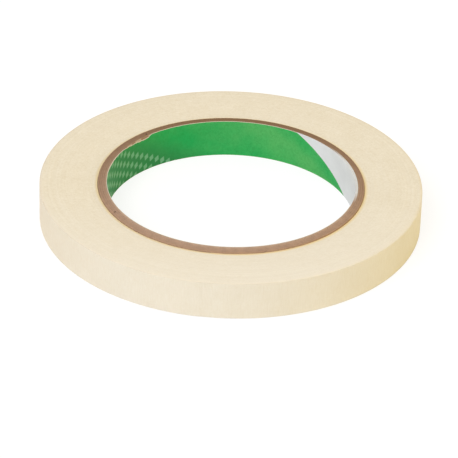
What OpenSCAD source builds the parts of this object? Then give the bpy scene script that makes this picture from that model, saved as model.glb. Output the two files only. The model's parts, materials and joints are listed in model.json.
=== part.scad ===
// Roll of crepe paper masking tape on a spiral-wound paperboard core.
// The roll lies flat with its axis along Z. The origin is on the axis, in the plane that the core rests on.

/* [Core] */
// Bore through the core, inside the liner
bore_d = 76.2; // [60:0.1:80]
// Board plies wound over the liner
plies = 4; // [2:1:6]
// Thickness of one board ply
ply_t = 0.64; // [0.4:0.01:1]
// Thickness of the printed paper liner
liner_t = 0.15; // [0.1:0.01:0.3]
// Glue line between one layer of the core and the next, and under the first turn of tape
glue_t = 0.02; // [0.01:0.01:0.05]
// How far each end of the core stands out past the side of the tape
core_proud = 0.1; // [0.05:0.05:1]

/* [Core seams] */
// Slope of the wound strips' edges against the ends of the core
strip_slope = 27; // [18:1:40]
// Width of the butt seam where a wound strip meets its own edge
seam_w = 0.25; // [0.1:0.05:0.5]
// Turn about the axis from the liner's seam to the first ply's, and from each ply's to the next
seam_step = 76; // [50:1:90]

/* [Liner print] */
// Direction from the axis of the print's edge, at mid height
print_edge_at = 40; // [0:0.5:360]
// Width of the bare margin beside the print, measured round the bore
margin_w = 50.3; // [30:0.1:60]

/* [Tape] */
// Width of the tape
tape_w = 12; // [6:1:24]
// Thickness of the tape with its adhesive
tape_t = 0.13; // [0.08:0.01:0.25]
// Turns of tape on the core, counting the last one
tape_turns = 136; // [20:1:300]

/* [Loose end] */
// Direction from the axis of the tape's cut end
end_at = 262.5; // [0:0.5:360]
// Length of the end that lifts off the roll
end_l = 25; // [10:1:35]
// Room under the last turn, and at the crease where the loose end lifts
lift_gap = 0.02; // [0.01:0.01:0.05]

/* [Hidden] */
$fn = 180;
PRINT_GREEN = [0.24, 0.67, 0.35];
BARE_PAPER = [0.83, 0.85, 0.84];
KRAFT_BOARD = [0.68, 0.55, 0.45];
CREPE_PAPER = [0.93, 0.88, 0.77];

bore_r = bore_d / 2;
core_l = tape_w + 2 * core_proud;
layer_t = ply_t + glue_t;
core_r = bore_r + liner_t + plies * layer_t;

// The tape's inner radius, and the radius where its last turn starts
tape_in_r = core_r + glue_t;
last_turn_r = tape_in_r + (tape_turns - 1) * tape_t;

// The spiral gains a quarter of the tape's thickness at each quarter turn
quarter_gain = tape_t / 4;

// Directions from the axis of the liner's own seam and of each ply's, at mid height
liner_seam_at = print_edge_at - margin_w / bore_r * 180 / PI;
function ply_seam_at(i) = liner_seam_at + i * seam_step;

// Larger than the roll, and as far past its ends: the reach of every cut
reach = 2 * (last_turn_r + tape_w);

function ply_name(i) = str("core_ply_", i);

// One layer of the core, as a plain ring
module core_layer(inner_r, thickness) {
    difference() {
        cylinder(h = core_l, r = inner_r + thickness);
        translate([0, 0, -core_l])
            cylinder(h = 3 * core_l, r = inner_r);
    }
}

// Lays the XY plane along a wound strip's edge: through the radius at this direction, at mid height, and up
// the strip's slope
module along_edge(direction) {
    translate([0, 0, core_l / 2])
        rotate([0, 0, direction])
            rotate([strip_slope, 0, 0])
                children();
}

// Everything that lies anticlockwise of a strip's edge, and of a line that far clockwise of it
module past_edge(direction, margin = 0) {
    along_edge(direction)
        translate([-reach, -reach, margin - 2 * reach])
            cube(2 * reach);
}

// Everything that lies clockwise of a strip's edge
module before_edge(direction) {
    along_edge(direction)
        translate([-reach, -reach, 0])
            cube(2 * reach);
}

// The stretch of the core between the liner's own seam and the edge of its print
module margin_stretch(seam = 0) {
    intersection() {
        past_edge(liner_seam_at, seam);
        before_edge(print_edge_at);
    }
}

// The slit where a wound strip's edges meet, on the one side of the core that the direction points to
module seam_slit(direction) {
    along_edge(direction)
        translate([0, -reach, -seam_w / 2])
            cube([reach, 2 * reach, seam_w]);
}

// The printed part of the liner, the white paper strip that is wound first and lines the bore
module liner_printed() {
    color(PRINT_GREEN)
        difference() {
            core_layer(bore_r, liner_t);
            margin_stretch(seam_w);
        }
}

// The same strip's bare margin, on the other side of the print's edge
module liner_bare() {
    color(BARE_PAPER)
        intersection() {
            core_layer(bore_r, liner_t);
            margin_stretch();
        }
}

// One strip of board, wound on a slope over the layer before it, with its seam turned away from that layer's
module core_ply(i) {
    color(KRAFT_BOARD)
        difference() {
            core_layer(bore_r + liner_t + glue_t + (i - 1) * layer_t, ply_t);
            seam_slit(ply_seam_at(i));
        }
}

// Centres of the spiral's four arcs: the corners of a square whose sides are as long as the gain
function quarter_centre(q) = quarter_gain / sqrt(2) * [cos(135 + 90 * q), sin(135 + 90 * q)];

// What one turn of the spiral encloses: four quarter discs, each wider than the last, with a step of one tape
// thickness on the X axis where the turn closes over its own start
module spiral_disc(start_r) {
    for (q = [0 : 3])
        translate(quarter_centre(q))
            rotate(90 * q)
                intersection() {
                    circle(r = start_r + q * quarter_gain);
                    square(reach);
                }
}

// The outline of the last turn, a strip that ends on the X axis one thickness above its own start
module last_turn_outline() {
    difference() {
        spiral_disc(last_turn_r + tape_t);
        spiral_disc(last_turn_r + lift_gap);
    }
}

// The sector that holds this length of the last turn, measured back from the cut end
module end_sector(length) {
    turn = length / last_turn_r * 180 / PI;
    translate(quarter_centre(3))
        polygon([
            [0, 0],
            reach * [cos(turn), -sin(turn)],
            reach * [1, -tan(turn / 2)],
            reach * [1, 0]
        ]);
}

// Raises an outline of the tape to its width, at its place on the core
module tape_width() {
    translate([0, 0, core_proud])
        rotate([0, 0, end_at])
            linear_extrude(tape_w)
                children();
}

// All the turns under the last one, wound tight, as one body with the spiral's step in its outer face
module tape_pack() {
    color(CREPE_PAPER)
        tape_width()
            difference() {
                spiral_disc(last_turn_r);
                circle(r = tape_in_r);
            }
}

// The last turn of the tape, as far as the crease of its loose end
module tape_last_turn() {
    color(CREPE_PAPER)
        tape_width()
            difference() {
                last_turn_outline();
                end_sector(end_l + lift_gap);
            }
}

// The loose end, which lifts off the roll at its crease when the tape is picked up
module tape_end() {
    color(CREPE_PAPER)
        tape_width()
            intersection() {
                last_turn_outline();
                end_sector(end_l);
            }
}

liner_printed();
liner_bare();
for (i = [1 : plies])
    core_ply(i);
tape_pack();
tape_last_turn();
tape_end();
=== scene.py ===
import json
import math

import bmesh
import bpy
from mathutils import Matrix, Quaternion, Vector, noise


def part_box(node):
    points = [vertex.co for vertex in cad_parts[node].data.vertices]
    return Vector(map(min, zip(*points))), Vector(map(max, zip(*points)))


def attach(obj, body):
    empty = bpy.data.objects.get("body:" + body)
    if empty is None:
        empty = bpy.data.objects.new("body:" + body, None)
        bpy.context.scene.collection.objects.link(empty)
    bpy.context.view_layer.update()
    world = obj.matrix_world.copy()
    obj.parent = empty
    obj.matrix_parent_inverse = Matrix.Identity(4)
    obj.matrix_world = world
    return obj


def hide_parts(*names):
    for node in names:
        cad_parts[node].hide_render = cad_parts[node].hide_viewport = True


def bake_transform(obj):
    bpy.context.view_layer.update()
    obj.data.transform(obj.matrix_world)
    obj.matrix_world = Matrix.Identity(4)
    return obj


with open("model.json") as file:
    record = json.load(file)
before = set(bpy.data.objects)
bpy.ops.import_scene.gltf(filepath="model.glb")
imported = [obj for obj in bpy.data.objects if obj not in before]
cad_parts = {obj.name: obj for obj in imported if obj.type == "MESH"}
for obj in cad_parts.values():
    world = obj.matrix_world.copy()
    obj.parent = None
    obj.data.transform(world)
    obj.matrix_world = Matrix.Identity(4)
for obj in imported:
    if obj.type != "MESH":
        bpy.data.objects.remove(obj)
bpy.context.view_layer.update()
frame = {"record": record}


# Core liner
# One strip of thin white paper, printed green up to a sloping edge. It is wound on a slope to line the
# bore, and the board is glued over it. Its upper edge is rubbed, and torn off the board at the back left.
MM = 0.001
FULL_TURN = 2 * math.pi
MERGE_WITHIN = 0.002 * MM
LINER_T = 0.15 * MM
STRIP_SLOPE = math.radians(27)
SEAM_W = 0.25 * MM
MARGIN_W = 50.3 * MM
PRINT_EDGE_AT = math.radians(40)
LINER_ROWS = 32
LINER_STEP_L = 0.26 * MM

# Directions from the axis of the tear, and of the lip beside it that has lost its print
TEAR_FROM = math.radians(132)
TEAR_TO = math.radians(153)
TEAR_RISE = math.radians(2.5)
TEAR_FALL = math.radians(13)
LIP_FROM = math.radians(157)
LIP_TO = math.radians(220)
LIP_RISE = math.radians(8)
LIP_FALL = math.radians(16)
TEAR_DEPTH = 0.95 * MM
TEAR_EVEN_SHARE = 0.85
TEAR_RAGGED_SHARE = 0.4
TEAR_GRAIN = 0.9 * MM
RUBBED_W = 0.1 * MM
TORN_W = 0.25 * MM
LIP_W = 0.45 * MM

mounts = {mount["name"]: mount for mount in frame["record"]["mounts"]}
bore_r = mounts["core_bore"]["dims"]["r_mm"] * MM
core_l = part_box("liner_printed")[1].z
margin_turn = MARGIN_W / bore_r
liner_seam_at = PRINT_EDGE_AT - margin_turn
seam_turn = SEAM_W / math.sin(STRIP_SLOPE) / bore_r


def add_section(name, inner_r, outer_r, low_z, high_z):
    """Adds a ring's section, one upright face in the XZ plane, and leaves it in edit mode."""
    bpy.ops.object.select_all(action="DESELECT")
    bpy.ops.mesh.primitive_plane_add(size=1, rotation=(math.pi / 2, 0, 0))
    piece = bpy.context.object
    piece.name = name
    piece.location = ((inner_r + outer_r) / 2, 0, (low_z + high_z) / 2)
    piece.scale = (outer_r - inner_r, high_z - low_z, 1)
    bpy.ops.object.transform_apply(location=True, rotation=True, scale=True)
    bpy.ops.object.mode_set(mode="EDIT")
    return piece


def pick_edges(piece, chosen):
    """Selects the edges whose two ends pass the test."""
    bpy.ops.mesh.select_mode(type="EDGE")
    bpy.ops.mesh.select_all(action="DESELECT")
    mesh = bmesh.from_edit_mesh(piece.data)
    for edge in mesh.edges:
        edge.select_set(chosen(edge.verts[0].co, edge.verts[1].co))
    bmesh.update_edit_mesh(piece.data)


def upright(a, b):
    """Whether an edge of the section stands."""
    return abs(a.z - b.z) > abs(a.x - b.x)


def level(a, b):
    """Whether an edge of the section lies."""
    return not upright(a, b)


def sweep_section(piece, turn, steps):
    """Sweeps the section's outline anticlockwise about the Z axis, as a wall with open ends."""
    bpy.ops.object.mode_set(mode="OBJECT")
    sweep = piece.modifiers.new("sweep", "SCREW")
    sweep.angle = turn
    sweep.steps = steps
    sweep.render_steps = steps
    sweep.use_normal_flip = True
    bpy.ops.object.modifier_apply(modifier=sweep.name)


def close_wall(piece):
    """Joins edges that lie on each other, closes what is still open and turns the faces outwards."""
    bpy.ops.object.mode_set(mode="EDIT")
    bpy.ops.mesh.select_all(action="SELECT")
    bpy.ops.mesh.remove_doubles(threshold=MERGE_WITHIN)
    bpy.ops.mesh.select_all(action="SELECT")
    bpy.ops.mesh.fill_holes(sides=0)
    bpy.ops.mesh.select_all(action="SELECT")
    bpy.ops.mesh.normals_make_consistent(inside=False)
    bpy.ops.object.mode_set(mode="OBJECT")


def swept_by(place):
    """How far round the Z axis a point has been swept. Points of the section may lie a hair before it."""
    hair = 0.0004
    return (math.atan2(place.y, place.x) + hair) % FULL_TURN - hair


def polar(radius, direction, height):
    """The point at this distance and direction from the Z axis."""
    return Vector((radius * math.cos(direction), radius * math.sin(direction), height))


def reshape(piece, move):
    """Moves each vertex to where move() puts it."""
    for vertex in piece.data.vertices:
        vertex.co = move(vertex.co)
    piece.data.update()


def add_strip_map(piece, flat):
    """Maps a piece as the flat strip it is wound from, by each vertex's place on it in millimetres."""
    strip = piece.data.uv_layers.new(name="strip")
    for loop in piece.data.loops:
        strip.data[loop.index].uv = flat[loop.vertex_index]


def smooth(piece, angle=35):
    """Shades a piece smooth, but for its edges that are sharper than this angle in degrees."""
    bpy.ops.object.select_all(action="DESELECT")
    piece.select_set(True)
    bpy.context.view_layer.objects.active = piece
    bpy.ops.object.shade_smooth_by_angle(angle=math.radians(angle))


def climb(height):
    """How far round the core a strip's edge has gone at this height, from where it is at mid height."""
    return (height - core_l / 2) / math.tan(STRIP_SLOPE) / bore_r


def window(value, start, end, rise, fall):
    """1 between start and end, and 0 outside, with a straight rise and fall."""
    return max(0, min(1, (value - start) / rise, (end - value) / fall))


def grain(place, size):
    """Rough noise from about -1 to 1 whose lumps are about this size, with finer ones half as strong."""
    finer = 0.37 * size
    return noise.noise(place / size) + 0.5 * noise.noise(place / finer)


def torn_share(direction):
    """How far the tear has opened in this direction from the axis, from 0 to 1."""
    return window(direction, TEAR_FROM, TEAR_TO, TEAR_RISE, TEAR_FALL)


def tear_depth(direction):
    """How much of the liner's upper edge is gone in this direction from the axis."""
    ragged = TEAR_RAGGED_SHARE * grain(polar(bore_r, direction, 0), TEAR_GRAIN)
    return torn_share(direction) * TEAR_DEPTH * max(0, TEAR_EVEN_SHARE + ragged)


def bare_width(direction):
    """How far below the upper edge the paper has lost its print in this direction."""
    lip = window(direction, LIP_FROM, LIP_TO, LIP_RISE, LIP_FALL)
    return RUBBED_W + TORN_W * torn_share(direction) + LIP_W * lip


def add_liner_stretch(name, from_turn, to_turn):
    """One stretch of the strip, between two turns from the strip's own seam."""
    steps = round((to_turn - from_turn) * bore_r / LINER_STEP_L)
    piece = add_section(name, bore_r, bore_r + LINER_T, 0, core_l)
    bpy.ops.mesh.delete(type="ONLY_FACE")
    pick_edges(piece, upright)
    bpy.ops.mesh.subdivide(number_cuts=LINER_ROWS - 1)
    sweep_section(piece, to_turn - from_turn, steps)
    close_wall(piece)
    flat = []
    bare = []

    def wind(place):
        radius = math.hypot(place.x, place.y)
        turn = from_turn + swept_by(place)
        # The rows of vertices crowd towards the two edges, where the paper is rubbed and torn
        share = (1 - math.cos(math.pi * place.z / core_l)) / 2
        height = core_l * share
        direction = (liner_seam_at + turn + climb(height)) % FULL_TURN
        gone = tear_depth(direction) * max(0, 2 * share - 1)
        lower = height - gone
        turn -= climb(lower) - climb(height)
        across = turn * bore_r * math.sin(STRIP_SLOPE)
        along = turn * bore_r * math.cos(STRIP_SLOPE) + lower / math.sin(STRIP_SLOPE)
        flat.append((across / MM, along / MM))
        below_edge = core_l - tear_depth(direction) - lower
        at_foot = max(0, 1 - height / RUBBED_W)
        bare.append(max(at_foot, 1 - below_edge / bare_width(direction), 0))
        return polar(radius, direction, lower)

    reshape(piece, wind)
    add_strip_map(piece, flat)
    piece.data.attributes.new("bare", "FLOAT", "POINT").data.foreach_set("value", bare)
    smooth(piece)
    return piece


def colour(red, green, blue):
    """The scene-linear colour of an sRGB one that is given from 0 to 255."""
    def linear(value):
        share = value / 255
        return share / 12.92 if share <= 0.04045 else ((share + 0.055) / 1.055) ** 2.4
    return (linear(red), linear(green), linear(blue), 1)


def add_node(tree, kind, inputs=None, **settings):
    """Adds a node with its settings, and gives each listed input a value or a link."""
    node = tree.nodes.new(kind)
    for name, value in settings.items():
        setattr(node, name, value)
    for name, value in (inputs or {}).items():
        if isinstance(value, bpy.types.NodeSocket):
            tree.links.new(value, node.inputs[name])
        else:
            node.inputs[name].default_value = value
    return node


def maths(tree, operation, first, second=0.0, third=0.0):
    """The result of a Math node."""
    inputs = {0: first, 1: second, 2: third}
    return add_node(tree, "ShaderNodeMath", inputs, operation=operation).outputs[0]


def ramp(tree, value, start, end, low=0.0, high=1.0):
    """Goes from low to high while the value goes from start to end."""
    inputs = {"Value": value, "From Min": start, "From Max": end, "To Min": low, "To Max": high}
    return add_node(tree, "ShaderNodeMapRange", inputs).outputs["Result"]


def mix_colours(tree, share, first, second):
    """The first colour, with this share of the second."""
    inputs = {0: share, 6: first, 7: second}
    return add_node(tree, "ShaderNodeMix", inputs, data_type="RGBA").outputs[2]


def start_material(name, specular):
    """A new material, its node tree and its Principled shader."""
    material = bpy.data.materials.new(name)
    material.use_nodes = True
    tree = material.node_tree
    surface = tree.nodes["Principled BSDF"]
    surface.inputs["Specular IOR Level"].default_value = specular
    return material, tree, surface


def add_bump(tree, surface, height, strength, distance):
    """Roughens a surface by the heights."""
    inputs = {"Height": height, "Strength": strength, "Distance": distance}
    bump = add_node(tree, "ShaderNodeBump", inputs)
    tree.links.new(bump.outputs["Normal"], surface.inputs["Normal"])


# Most values of a noise texture lie between these two
NOISE_LOW = 0.3
NOISE_HIGH = 0.7
FIBRE_LOW = 0.28
FIBRE_HIGH = 0.72
FIBRE_FINER = 7.0


def make_paper_fibre():
    """Pressed paper, as used by every material here: a soft cloudiness, and fine short fibres."""
    group = bpy.data.node_groups.new("paper_fibre", "ShaderNodeTree")
    group.interface.new_socket("Vector", in_out="INPUT", socket_type="NodeSocketVector")
    group.interface.new_socket("Scale", in_out="INPUT", socket_type="NodeSocketFloat")
    group.interface.new_socket("Cloud", in_out="OUTPUT", socket_type="NodeSocketFloat")
    group.interface.new_socket("Fibre", in_out="OUTPUT", socket_type="NodeSocketFloat")
    given = group.nodes.new("NodeGroupInput").outputs
    result = group.nodes.new("NodeGroupOutput").inputs
    cloud = add_node(group, "ShaderNodeTexNoise",
                     {"Vector": given["Vector"], "Scale": given["Scale"], "Detail": 3.0})
    fine = maths(group, "MULTIPLY", given["Scale"], FIBRE_FINER)
    fibre = add_node(group, "ShaderNodeTexNoise",
                     {"Vector": given["Vector"], "Scale": fine, "Detail": 5.0,
                      "Roughness": 0.62, "Distortion": 1.2})
    group.links.new(ramp(group, cloud.outputs["Fac"], NOISE_LOW, NOISE_HIGH), result["Cloud"])
    group.links.new(ramp(group, fibre.outputs["Fac"], FIBRE_LOW, FIBRE_HIGH), result["Fibre"])
    return group


paper_fibre = make_paper_fibre()


def add_fibre(tree, place, scale):
    """Places the paper fibre in a material, at this many clouds to the metre."""
    fibre = add_node(tree, "ShaderNodeGroup", node_tree=paper_fibre)
    tree.links.new(place, fibre.inputs["Vector"])
    fibre.inputs["Scale"].default_value = scale
    return fibre.outputs["Cloud"], fibre.outputs["Fibre"]


def add_place(tree):
    """The object's own coordinates."""
    return add_node(tree, "ShaderNodeTexCoord").outputs["Object"]


PAPER_LIGHT = colour(229, 228, 234)
PAPER_GREY = colour(221, 220, 226)
INK_THIN = colour(83, 179, 96)
INK_FULL = colour(6, 168, 82)
INK_PAINTED_SHADE = colour(40, 134, 70)
INK_SPECK = colour(30, 128, 60)
MARK_PALE = colour(128, 190, 148)
BARE_FIBRE = colour(226, 216, 202)
LINER_CLOUD = 170
THIN_SHARE = 0.75
BEAD_SHARE = 0.35
CLOUD_SHARE = 0.4
SPECK_SHARE = 0.4
MARK_SHARE = 0.75
RUBBED_FROM = 0.55
RUBBED_TO = 0.85

# Millimetres across the strip from its own seam: the ink is thin beside its bead at the print's edge, and
# darkened by painted shade towards the motif, whose rows run along the strip
INK_EDGE_AT = 24.6
INK_EDGE_TO = 28.4
INK_THIN_AT = 30
INK_FULL_AT = 42
INK_SHADE_FROM = 45
INK_SHADE_AT = 53
MOTIF_FROM = 51.4
ROW_PITCH = 3.2
MARK_PITCH = 2.4
MARK_W = 2.6
MARK_L = 1.8
MARK_BLUR = 0.12


def add_marks(tree, across, along):
    """A mask of small plain lozenges in rows, staggered from row to row."""
    row = maths(tree, "DIVIDE", across, ROW_PITCH)
    stagger = maths(tree, "MULTIPLY", maths(tree, "FLOOR", row), 0.5)
    mark = maths(tree, "ADD", maths(tree, "DIVIDE", along, MARK_PITCH), stagger)
    off_row = maths(tree, "ABSOLUTE", maths(tree, "SUBTRACT", maths(tree, "FRACT", row), 0.5))
    off_mark = maths(tree, "ABSOLUTE", maths(tree, "SUBTRACT", maths(tree, "FRACT", mark), 0.5))
    reach = maths(tree, "MULTIPLY", off_row, 2 * ROW_PITCH / MARK_W)
    reach = maths(tree, "MULTIPLY_ADD", off_mark, 2 * MARK_PITCH / MARK_L, reach)
    begun = maths(tree, "GREATER_THAN", across, MOTIF_FROM)
    return maths(tree, "MULTIPLY", ramp(tree, reach, 1 + MARK_BLUR, 1 - MARK_BLUR), begun)


def add_print(tree, cloud, fibre):
    """The green print and its motif, down to the bare paper where the strip is rubbed."""
    strip = add_node(tree, "ShaderNodeUVMap", uv_map="strip").outputs["UV"]
    on_strip = add_node(tree, "ShaderNodeSeparateXYZ", {"Vector": strip}).outputs
    across = on_strip["X"]
    thin = ramp(tree, across, INK_THIN_AT, INK_FULL_AT, low=THIN_SHARE, high=0.0)
    thin = maths(tree, "MULTIPLY", thin, ramp(tree, across, INK_EDGE_AT, INK_EDGE_TO, low=BEAD_SHARE))
    ink = mix_colours(tree, maths(tree, "MULTIPLY_ADD", cloud, CLOUD_SHARE, thin), INK_FULL, INK_THIN)
    # Painted shade: the ink darkens across the strip towards the motif
    ink = mix_colours(tree, ramp(tree, across, INK_SHADE_FROM, INK_SHADE_AT), ink, INK_PAINTED_SHADE)
    ink = mix_colours(tree, ramp(tree, fibre, 0.3, 1.0, high=SPECK_SHARE), ink, INK_SPECK)
    marks = maths(tree, "MULTIPLY", add_marks(tree, across, on_strip["Y"]), MARK_SHARE)
    ink = mix_colours(tree, marks, ink, MARK_PALE)
    bare = add_node(tree, "ShaderNodeAttribute", attribute_name="bare").outputs["Fac"]
    rubbed = ramp(tree, maths(tree, "MULTIPLY_ADD", fibre, 0.5, bare), RUBBED_FROM, RUBBED_TO)
    return mix_colours(tree, rubbed, ink, BARE_FIBRE)


def make_liner_paper(name, printed):
    """White paper with a little sheen, with or without the green print and its motif."""
    material, tree, surface = start_material(name, specular=0.3)
    cloud, fibre = add_fibre(tree, add_place(tree), LINER_CLOUD)
    if printed:
        face = add_print(tree, cloud, fibre)
    else:
        face = mix_colours(tree, cloud, PAPER_GREY, PAPER_LIGHT)
    tree.links.new(face, surface.inputs["Base Color"])
    tree.links.new(ramp(tree, fibre, 0, 1, low=0.5, high=0.7), surface.inputs["Roughness"])
    add_bump(tree, surface, fibre, strength=0.3, distance=0.02 * MM)
    return material


def finish_piece(piece, node_name):
    """Puts a piece of the roll in a CAD node's place."""
    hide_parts(node_name)
    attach(piece, "roll")


liner_margin = add_liner_stretch("liner_margin", 0, margin_turn)
liner_margin.data.materials.append(make_liner_paper("bare_liner_paper", printed=False))
finish_piece(liner_margin, "liner_bare")

liner_print = add_liner_stretch("liner_print", margin_turn, FULL_TURN - seam_turn)
liner_print.data.materials.append(make_liner_paper("printed_liner_paper", printed=True))
finish_piece(liner_print, "liner_printed")


# Core board
# Four strips of brown kraft board, wound on a slope one over the other and glued into a tube. A knife
# cuts the tube to length, which leaves rough ends that fall a little from the bore to the tape.
PLY_COUNT = 4
PLY_T = 0.64 * MM
PLY_CORNER = 0.08 * MM
SEAM_STEP = math.radians(76)
PLY_ROWS = 16
PLY_STEPS = 480
END_ROWS = 5
END_FALL = 0.28 * MM
FALL_CURVE = 1.4
END_FRAY = 0.05 * MM
FRAY_GRAIN = 0.5 * MM
PLY_SHADES = [(198, 166, 144), (190, 158, 136), (188, 155, 133), (186, 153, 130)]
BOARD_DARK = 0.82
BOARD_CLOUD = 420
BOARD_CLOUD_SHARE = 0.4
BOARD_FIBRE_SHARE = 0.6
BOARD_ROUGHNESS = 0.9

# Painted shade darkens the board from front to back. A scrap of the liner's white paper is stuck on the
# first ply's end at the right, and there are small ones on its inner face, where the liner is torn off
BOARD_PAINTED_SHADE = colour(118, 88, 58)
PAINTED_SHADE_FROM = -21 * MM
PAINTED_SHADE_TO = 38 * MM
PAINTED_SHADE_SHARE = 0.75
SCRAP_WHITE = colour(216, 217, 220)
SCRAP_FROM = 30 * MM
SCRAP_TO = 36 * MM
SCRAP_FRONT = -10 * MM
SCRAP_BACK = -4 * MM
TORN_BOARD = colour(166, 134, 112)
INNER_SKIN = 0.03 * MM
SMALL_SCRAP_SHARE = 0.5

core_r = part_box(f"core_ply_{PLY_COUNT}")[1].x


def end_drop(place, radius):
    """How far a cut end of the board falls short of the core's full length at this point."""
    across = (radius - bore_r) / (core_r - bore_r)
    return END_FALL * across ** FALL_CURVE + END_FRAY * max(0, grain(place, FRAY_GRAIN))


def from_axis(tree, place):
    """How far each point of a material lies from the roll's axis."""
    flat = add_node(tree, "ShaderNodeVectorMath", {0: place, 1: (1, 1, 0)}, operation="MULTIPLY")
    length = add_node(tree, "ShaderNodeVectorMath", {0: flat.outputs["Vector"]}, operation="LENGTH")
    return length.outputs["Value"]


def make_board(ply, inner_r):
    """Kraft board with short fibres and painted shade at the back. The first ply has the liner's scraps.
    """
    light = PLY_SHADES[ply - 1]
    dark = [BOARD_DARK * value for value in light]
    material, tree, surface = start_material(f"kraft_board_{ply}", specular=0.15)
    surface.inputs["Roughness"].default_value = BOARD_ROUGHNESS
    place = add_place(tree)
    cloud, fibre = add_fibre(tree, place, BOARD_CLOUD)
    shade = maths(tree, "MULTIPLY", fibre, BOARD_FIBRE_SHARE)
    shade = maths(tree, "MULTIPLY_ADD", cloud, BOARD_CLOUD_SHARE, shade)
    board = mix_colours(tree, shade, colour(*dark), colour(*light))
    axes = add_node(tree, "ShaderNodeSeparateXYZ", {"Vector": place}).outputs
    # Painted shade: the board is darkened from front to back
    painted_shade = ramp(tree, axes["Y"], PAINTED_SHADE_FROM, PAINTED_SHADE_TO, high=PAINTED_SHADE_SHARE)
    board = mix_colours(tree, painted_shade, board, BOARD_PAINTED_SHADE)
    if ply == 1:
        behind = ramp(tree, axes["Y"], SCRAP_FRONT, SCRAP_BACK)
        at_right = maths(tree, "MULTIPLY", ramp(tree, axes["X"], SCRAP_FROM, SCRAP_TO), behind)
        board = mix_colours(tree, at_right, board, SCRAP_WHITE)
        inside = ramp(tree, from_axis(tree, place), inner_r + INNER_SKIN, inner_r + INNER_SKIN / 3)
        board = mix_colours(tree, inside, board, TORN_BOARD)
        scraps = maths(tree, "MULTIPLY", inside, ramp(tree, cloud, 0.55, 0.8, high=SMALL_SCRAP_SHARE))
        board = mix_colours(tree, scraps, board, BARE_FIBRE)
    tree.links.new(board, surface.inputs["Base Color"])
    add_bump(tree, surface, fibre, strength=0.5, distance=0.06 * MM)
    return material


def add_ply(ply):
    """One strip of board, wound round the layer before it, with rough cut ends."""
    node_name = f"core_ply_{ply}"
    outer_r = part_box(node_name)[1].x
    seam_at = liner_seam_at + ply * SEAM_STEP
    piece = add_section(f"board_ply_{ply}", outer_r - PLY_T, outer_r, 0, core_l)
    bpy.ops.mesh.select_all(action="SELECT")
    bpy.ops.mesh.bevel(offset=PLY_CORNER, segments=2, affect="VERTICES")
    bpy.ops.mesh.delete(type="ONLY_FACE")
    pick_edges(piece, lambda a, b: abs(a.z - b.z) > core_l / 2)
    bpy.ops.mesh.subdivide(number_cuts=PLY_ROWS - 1)
    pick_edges(piece, lambda a, b: level(a, b) and abs(a.x - b.x) > PLY_T / 2)
    bpy.ops.mesh.subdivide(number_cuts=END_ROWS - 1)
    sweep_section(piece, FULL_TURN - seam_turn, PLY_STEPS)
    close_wall(piece)

    def wind(place):
        radius = math.hypot(place.x, place.y)
        direction = seam_at + swept_by(place) + climb(place.z)
        wound = polar(radius, direction, place.z)
        if place.z > core_l - 2 * PLY_CORNER:
            wound.z -= end_drop(wound, radius)
        elif place.z < 2 * PLY_CORNER:
            wound.z += END_FRAY * max(0, grain(wound, FRAY_GRAIN))
        return wound

    reshape(piece, wind)
    smooth(piece)
    piece.data.materials.append(make_board(ply, outer_r - PLY_T))
    finish_piece(piece, node_name)


for ply in range(1, PLY_COUNT + 1):
    add_ply(ply)


# Wound tape
# All the turns of crepe paper tape under the last one, wound tight and stuck to each other. Their cut
# edges make the roll's two flat sides, where one turn lies a hair above the next. The upper side dips
# towards the core.
TAPE_T = 0.13 * MM
TAPE_GLUE_T = 0.02 * MM
PACK_TURNS = 135
TURN_STEPS = 208
OPEN_TURN = 0.001
END_AT = math.radians(262.5)
SIDE_DIP = 0.68 * MM
DIP_CURVE = 1.7
WORN_W = 0.8 * MM
WORN_DEPTH = 0.14 * MM

# How far the tape's edges stray as it is wound, and how often to the turn
SLOW_WANDER = 0.04 * MM
SLOW_RATE = 0.09
MIDDLE_RATE = 0.33
QUICK_WANDER = 0.016 * MM
QUICK_RATE = 1.07

tape_low_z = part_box("tape_pack")[0].z
tape_high_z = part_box("tape_pack")[1].z
tape_in_r = core_r + TAPE_GLUE_T
last_turn_r = tape_in_r + PACK_TURNS * TAPE_T


def on_spiral(start_r, turn):
    """The radius of a spiral that starts at about start_r and gains one tape thickness each turn."""
    return start_r + TAPE_T * (turn - 1 / 8)


def wander(turns, side):
    """How far the tape's edge strays from the flat side after this many turns."""
    row = 3.3 * side
    slow = noise.noise((turns * SLOW_RATE, row, 0.5)) + 0.6 * noise.noise((turns * MIDDLE_RATE, row, 4.5))
    return SLOW_WANDER * slow + QUICK_WANDER * noise.noise((turns * QUICK_RATE, row, 9.5))


def worn_off(turns):
    """How far the roll's outer corners are worn down at the edge of this turn."""
    to_corner = (PACK_TURNS - turns) * TAPE_T
    return WORN_DEPTH * max(0, 1 - to_corner / WORN_W) ** 2


def wind_pack(place):
    """Carries a point of plain rings on to the spiral, with the stray edge of its turn."""
    turn = min(1, max(0, swept_by(place)) / (FULL_TURN - OPEN_TURN))
    ring_r = math.hypot(place.x, place.y)
    turns = (ring_r - tape_in_r) / TAPE_T + turn
    side = 1 if place.z > core_l / 2 else -1
    dip = SIDE_DIP * max(0, 1 - turns / PACK_TURNS) ** DIP_CURVE if side > 0 else 0
    height = place.z - dip - side * worn_off(turns) + wander(turns, side)
    return polar(on_spiral(ring_r, turn), END_AT + FULL_TURN * turn, height)


SIDE_LIGHT = colour(245, 237, 223)
SIDE_DARK = colour(220, 207, 182)
SIDE_CLOUD = 150
SIDE_CLOUD_SHARE = 0.1
SIDE_FIBRE_SHARE = 0.5
RING_SCALE = 1300
RING_SHARE = 0.4

# Painted light makes the sides paler in front. They are yellow with adhesive at the innermost turns
# and worn at the corners
SIDE_PAINTED_LIGHT = colour(239, 232, 222)
PAINTED_LIGHT_FROM = -8 * MM
PAINTED_LIGHT_TO = -50 * MM
PAINTED_LIGHT_SHARE = 0.5
SIDE_YELLOW = colour(238, 214, 156)
YELLOW_FROM = 0.1 * MM
YELLOW_TO = 1.2 * MM
YELLOW_SHARE = 0.85
SIDE_WORN = colour(230, 218, 199)
WORN_SHARE = 0.5


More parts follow.
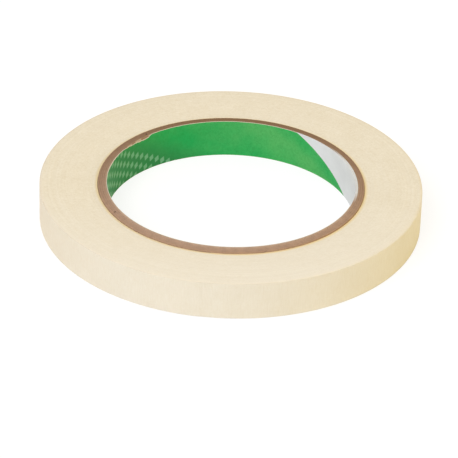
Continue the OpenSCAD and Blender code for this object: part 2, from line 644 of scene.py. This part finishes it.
def make_tape_side():
    """The tape's cut edges, side by side: matt paper in faint rings."""
    material, tree, surface = start_material("tape_cut_edges", specular=0.2)
    place = add_place(tree)
    cloud, fibre = add_fibre(tree, place, SIDE_CLOUD)
    radius = from_axis(tree, place)
    rings = add_node(tree, "ShaderNodeTexNoise",
                     {"W": radius, "Scale": RING_SCALE, "Detail": 4.0, "Roughness": 0.7},
                     noise_dimensions="1D").outputs["Fac"]
    shade = maths(tree, "MULTIPLY", rings, RING_SHARE)
    shade = maths(tree, "MULTIPLY_ADD", cloud, SIDE_CLOUD_SHARE, shade)
    shade = maths(tree, "MULTIPLY_ADD", fibre, SIDE_FIBRE_SHARE, shade)
    edges = mix_colours(tree, shade, SIDE_DARK, SIDE_LIGHT)
    to_back = add_node(tree, "ShaderNodeSeparateXYZ", {"Vector": place}).outputs["Y"]
    # Painted light: the sides are paler towards the front
    painted_light_in_front = ramp(tree, to_back, PAINTED_LIGHT_FROM, PAINTED_LIGHT_TO, high=PAINTED_LIGHT_SHARE)
    edges = mix_colours(tree, painted_light_in_front, edges, SIDE_PAINTED_LIGHT)
    at_core = ramp(tree, radius, tape_in_r + YELLOW_FROM, tape_in_r + YELLOW_TO, YELLOW_SHARE, 0.0)
    edges = mix_colours(tree, at_core, edges, SIDE_YELLOW)
    at_corner = ramp(tree, radius, last_turn_r - WORN_W, last_turn_r, high=WORN_SHARE)
    edges = mix_colours(tree, at_corner, edges, SIDE_WORN)
    tree.links.new(edges, surface.inputs["Base Color"])
    roughness = ramp(tree, rings, NOISE_LOW, NOISE_HIGH, low=0.72, high=0.88)
    tree.links.new(roughness, surface.inputs["Roughness"])
    uneven = maths(tree, "MULTIPLY_ADD", fibre, 0.5, rings)
    add_bump(tree, surface, uneven, strength=0.3, distance=0.03 * MM)
    return material


CREPE_LIGHT = colour(236, 229, 216)
CREPE_DARK = colour(227, 217, 199)
CREPE_CLOUD = 120
CREPE_CLOUD_SHARE = 0.25
CREPE_FIBRE_SHARE = 0.35
WRINKLE_SHARE = 0.4

# Fine wrinkles to the millimetre, along the tape and across it
WRINKLE_RATES = (2.4, 0.3, 1)


def make_crepe():
    """The tape's face: matt crepe paper, wrinkled across the tape."""
    material, tree, surface = start_material("crepe_paper", specular=0.15)
    cloud, fibre = add_fibre(tree, add_place(tree), CREPE_CLOUD)
    strip = add_node(tree, "ShaderNodeUVMap", uv_map="strip").outputs["UV"]
    stretched = add_node(tree, "ShaderNodeMapping", {"Vector": strip, "Scale": WRINKLE_RATES})
    wrinkle = add_node(tree, "ShaderNodeTexNoise",
                       {"Vector": stretched.outputs["Vector"], "Scale": 1.0, "Detail": 3.0,
                        "Roughness": 0.6, "Distortion": 0.4}).outputs["Fac"]
    shade = maths(tree, "MULTIPLY", ramp(tree, wrinkle, NOISE_LOW, NOISE_HIGH), WRINKLE_SHARE)
    shade = maths(tree, "MULTIPLY_ADD", cloud, CREPE_CLOUD_SHARE, shade)
    shade = maths(tree, "MULTIPLY_ADD", fibre, CREPE_FIBRE_SHARE, shade)
    face = mix_colours(tree, shade, CREPE_DARK, CREPE_LIGHT)
    tree.links.new(face, surface.inputs["Base Color"])
    roughness = ramp(tree, wrinkle, NOISE_LOW, NOISE_HIGH, low=0.7, high=0.56)
    tree.links.new(roughness, surface.inputs["Roughness"])
    uneven = maths(tree, "MULTIPLY_ADD", fibre, 0.25, wrinkle)
    add_bump(tree, surface, uneven, strength=0.35, distance=0.03 * MM)
    return material


tape_side = make_tape_side()
crepe = make_crepe()

# Each flat side gets one ring of faces to the turn, in two steps, because one makes no more than 100 cuts
pack = add_section("wound_tape", tape_in_r, last_turn_r, tape_low_z, tape_high_z)
bpy.ops.mesh.delete(type="ONLY_FACE")
pick_edges(pack, level)
bpy.ops.mesh.subdivide(number_cuts=PACK_TURNS // 3 - 1)
pick_edges(pack, level)
bpy.ops.mesh.subdivide(number_cuts=2)
sweep_section(pack, FULL_TURN - OPEN_TURN, TURN_STEPS)
reshape(pack, wind_pack)
close_wall(pack)

pack_flat = []
for vertex in pack.data.vertices:
    past_pack = math.hypot(vertex.co.x, vertex.co.y) - last_turn_r
    along = FULL_TURN * past_pack / TAPE_T * last_turn_r
    pack_flat.append((along / MM, vertex.co.z / MM))
add_strip_map(pack, pack_flat)
smooth(pack)

pack.data.materials.append(tape_side)
pack.data.materials.append(crepe)
for face in pack.data.polygons:
    face.material_index = 0 if abs(face.normal.z) > 0.5 else 1
finish_piece(pack, "tape_pack")


# Last turn of tape
# The turn on the outside of the roll, stuck down as far as its loose end. The paper is creped, so its
# face is wrinkled across the tape.
END_L = 25 * MM
CREPE_ROWS = 14
CREPE_STEP_L = 0.215 * MM
CREPE_DEPTH = 0.016 * MM
CREPE_PITCH = 0.62 * MM
CREPE_RUN = 4.5 * MM
SHEET_T = 0.09 * MM
SHEET_GAP = 0.008 * MM
SHEET_SMOOTH = 50
ADHESIVE_LIGHT = colour(236, 216, 168)
ADHESIVE_DARK = colour(228, 204, 150)
ADHESIVE_CLOUD_SHARE = 0.6
ADHESIVE_FIBRE_SHARE = 0.4

loose_turn = END_L / last_turn_r / FULL_TURN


def crepe_height(along, across):
    """The wrinkles of the crepe, from about -1 to 1: short along the tape, long across it, and uneven."""
    coarse = noise.noise((along / CREPE_PITCH, across / CREPE_RUN, 0.3))
    fine = noise.noise((along / (0.5 * CREPE_PITCH), across / (0.4 * CREPE_RUN), 5.1))
    return coarse + 0.6 * fine


def make_adhesive():
    """The tape's underside: the same paper under a thin yellowish coat of adhesive, with some sheen."""
    material, tree, surface = start_material("tape_adhesive", specular=0.45)
    cloud, fibre = add_fibre(tree, add_place(tree), CREPE_CLOUD)
    shade = maths(tree, "MULTIPLY", fibre, ADHESIVE_FIBRE_SHARE)
    shade = maths(tree, "MULTIPLY_ADD", cloud, ADHESIVE_CLOUD_SHARE, shade)
    coat = mix_colours(tree, shade, ADHESIVE_DARK, ADHESIVE_LIGHT)
    tree.links.new(coat, surface.inputs["Base Color"])
    tree.links.new(ramp(tree, cloud, 0, 1, low=0.36, high=0.5), surface.inputs["Roughness"])
    add_bump(tree, surface, cloud, strength=0.2, distance=0.03 * MM)
    return material


adhesive = make_adhesive()


def add_tape_sheet(name, from_turn, to_turn, fullness):
    """A stretch of the last turn as a wrinkled sheet. fullness() gives the share left of its thickness."""
    steps = round((to_turn - from_turn) * FULL_TURN * last_turn_r / CREPE_STEP_L)
    piece = add_section(name, last_turn_r, last_turn_r + TAPE_T, tape_low_z, tape_high_z)
    pick_edges(piece, lambda a, b: upright(a, b) and a.x < last_turn_r + TAPE_T / 2)
    bpy.ops.mesh.select_mode(type="VERT")
    bpy.ops.mesh.delete(type="VERT")
    bpy.ops.mesh.select_all(action="SELECT")
    bpy.ops.mesh.subdivide(number_cuts=CREPE_ROWS - 1)
    sweep_section(piece, (to_turn - from_turn) * FULL_TURN, steps)
    flat = []
    shares = []

    def wind(place):
        turn = from_turn + max(0, swept_by(place)) / FULL_TURN
        along = turn * FULL_TURN * last_turn_r
        across = place.z - tape_low_z
        flat.append((along / MM, place.z / MM))
        shares.append(fullness(along))
        side = 2 * across / (tape_high_z - tape_low_z) - 1
        wrinkle = CREPE_DEPTH * (1 + crepe_height(along, across)) * (1 - side ** 4)
        rise = SHEET_GAP + (SHEET_T + wrinkle) * shares[-1]
        stray = wander(PACK_TURNS + turn, math.copysign(1, side)) * abs(side) - WORN_DEPTH * side
        return polar(on_spiral(last_turn_r, turn) + rise, END_AT + FULL_TURN * turn, place.z + stray)

    reshape(piece, wind)
    add_strip_map(piece, flat)
    for material in (crepe, adhesive, tape_side):
        piece.data.materials.append(material)
    full = piece.vertex_groups.new(name="fullness")
    for index, share in enumerate(shares):
        full.add([index], share, "REPLACE")
    wall = piece.modifiers.new("wall", "SOLIDIFY")
    wall.thickness = SHEET_T
    wall.vertex_group = full.name
    wall.offset = -1
    wall.material_offset = 1
    wall.material_offset_rim = 2
    bpy.ops.object.modifier_apply(modifier=wall.name)
    piece.vertex_groups.clear()
    smooth(piece, SHEET_SMOOTH)
    return piece


last_turn = add_tape_sheet("last_turn", 0, 1 - loose_turn, lambda along: 1)
finish_piece(last_turn, "tape_last_turn")


# Loose end
# The last 25 mm of the tape, where it is picked up. It thins out towards its torn edge, which is rubbed
# down on the turn below.
FEATHER_L = 2.6 * MM
EDGE_SHARE = 0.44


def feathered(along):
    """The share of the tape's thickness that is left at this place, near its torn edge."""
    to_edge = FULL_TURN * last_turn_r - along
    return EDGE_SHARE + (1 - EDGE_SHARE) * min(1, to_edge / FEATHER_L)


loose_end = add_tape_sheet("loose_end_of_tape", 1 - loose_turn, 1, feathered)
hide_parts("tape_end")
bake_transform(loose_end)


# Studio
# A white floor that keeps the roll's soft shadow, a large key light at the upper left front, a weak fill
# in front and a warm one at each side, and the camera, which looks down on the roll through a long lens.
FLOOR_SIZE = 8.0
FLOOR_WHITE = (0.8, 0.8, 0.8, 1)
FLOOR_SHADED = (0.25, 0.25, 0.25, 1)
FLOOR_GLOW = 0.8
WHITE_LIGHT = (1, 1, 1)
KEY_PLACE = Vector((-0.78, -1.1, 1.55))
KEY_SIZE = 1.15
KEY_POWER = 21.5
FILL_SIZE = 0.5
FRONT_PLACE = Vector((0.35, -0.95, 0.3))
FRONT_POWER = 0.95
RIGHT_PLACE = Vector((1.0, 0.05, 0.27))
RIGHT_POWER = 2.2
RIGHT_WARM = (1.0, 0.68, 0.0)
LEFT_PLACE = Vector((-0.87, 0.5, 0.03))
LEFT_SIZE = 0.05
LEFT_POWER = 0.85
LEFT_WARM = (1.0, 0.55, 0.0)

# The sky turns warm past this share of the way to each side, and less so at the left
SKY_LIGHT = 0.6
SKY_WHITE = (1, 1, 1, 1)
SKY_WARM = (1.0, 0.78, 0.0, 1)
SKY_TURNS_AT = 0.4
SKY_LEFT_SHARE = 0.3

# The pixels are the photograph's, by which the camera aims beside the middle of the roll
CAMERA_RISE = math.radians(30.52)
CAMERA_ROLL = math.radians(1.87)
CAMERA_AWAY = 0.925
CAMERA_LENS = 236.5
SENSOR_W = 36
FRAME_PIXELS = 458
AIM_DOWN_PX = 29.9
AIM_RIGHT_PX = 1.70

middle = Vector((0, 0, core_l / 2))


def camera_sees(tree):
    """1 for rays that show the surface: those from the camera, and through mirrors and glass."""
    rays = add_node(tree, "ShaderNodeLightPath").outputs
    seen = maths(tree, "MAXIMUM", rays["Is Camera Ray"], rays["Is Glossy Ray"])
    return maths(tree, "MAXIMUM", seen, rays["Is Transmission Ray"])


def make_floor_white():
    """White with the roll's soft shadow where it is seen, and plain white paint for all other light."""
    material = bpy.data.materials.new("studio_white")
    material.use_nodes = True
    tree = material.node_tree
    tree.nodes.remove(tree.nodes["Principled BSDF"])
    plain = add_node(tree, "ShaderNodeBsdfDiffuse", {"Color": FLOOR_WHITE}).outputs[0]
    shaded = add_node(tree, "ShaderNodeBsdfDiffuse", {"Color": FLOOR_SHADED}).outputs[0]
    glow = add_node(tree, "ShaderNodeEmission", {"Strength": FLOOR_GLOW}).outputs[0]
    shown = add_node(tree, "ShaderNodeAddShader", {0: shaded, 1: glow}).outputs[0]
    floor_mix = add_node(tree, "ShaderNodeMixShader", {0: camera_sees(tree), 1: plain, 2: shown})
    tree.links.new(floor_mix.outputs[0], tree.nodes["Material Output"].inputs["Surface"])
    return material


def add_area_light(name, place, size, power, tint):
    """A square lamp that is turned to the roll."""
    bpy.ops.object.light_add(type="AREA", location=place)
    lamp = bpy.context.object
    lamp.name = name
    lamp.rotation_euler = (middle - place).to_track_quat("-Z", "Y").to_euler()
    lamp.data.size = size
    lamp.data.energy = power
    lamp.data.color = tint


bpy.ops.object.select_all(action="DESELECT")
bpy.ops.mesh.primitive_plane_add(size=FLOOR_SIZE)
floor = bpy.context.object
floor.name = "studio_floor"
floor.data.materials.append(make_floor_white())

add_area_light("key_light", KEY_PLACE, KEY_SIZE, KEY_POWER, WHITE_LIGHT)
add_area_light("front_fill", FRONT_PLACE, FILL_SIZE, FRONT_POWER, WHITE_LIGHT)
add_area_light("right_fill", RIGHT_PLACE, FILL_SIZE, RIGHT_POWER, RIGHT_WARM)
add_area_light("left_fill", LEFT_PLACE, LEFT_SIZE, LEFT_POWER, LEFT_WARM)

world = bpy.data.worlds.new("studio_sky")
world.use_nodes = True
sky = world.node_tree
lit = sky.nodes["Background"]
lit.inputs["Strength"].default_value = SKY_LIGHT
towards = add_node(sky, "ShaderNodeTexCoord").outputs["Generated"]
to_right = add_node(sky, "ShaderNodeSeparateXYZ", {"Vector": towards}).outputs["X"]
warm_right = ramp(sky, to_right, SKY_TURNS_AT, 1.0)
warm_left = ramp(sky, to_right, -SKY_TURNS_AT, -1.0, high=SKY_LEFT_SHARE)
warm = maths(sky, "ADD", warm_right, warm_left)
sky.links.new(mix_colours(sky, warm, SKY_WHITE, SKY_WARM), lit.inputs["Color"])
seen = add_node(sky, "ShaderNodeBackground", {"Color": SKY_WHITE, "Strength": 1.0})
sky_parts = {0: camera_sees(sky), 1: lit.outputs[0], 2: seen.outputs[0]}
sky_mix = add_node(sky, "ShaderNodeMixShader", sky_parts)
sky.links.new(sky_mix.outputs[0], sky.nodes["World Output"].inputs["Surface"])
bpy.context.scene.world = world

back = Vector((0, -math.cos(CAMERA_RISE), math.sin(CAMERA_RISE)))
bpy.ops.object.camera_add(location=middle + CAMERA_AWAY * back)
camera = bpy.context.object
camera.name = "photo_camera"
camera.data.lens = CAMERA_LENS
camera.data.sensor_width = SENSOR_W
pixel_angle = SENSOR_W / CAMERA_LENS / FRAME_PIXELS
aim = (-back).to_track_quat("-Z", "Y") @ Quaternion((0, 0, 1), CAMERA_ROLL)
aim = aim @ Quaternion((1, 0, 0), -AIM_DOWN_PX * pixel_angle)
aim = aim @ Quaternion((0, 1, 0), AIM_RIGHT_PX * pixel_angle)
camera.rotation_euler = aim.to_euler()
bpy.context.scene.camera = camera
bpy.context.scene.view_settings.view_transform = "Standard"
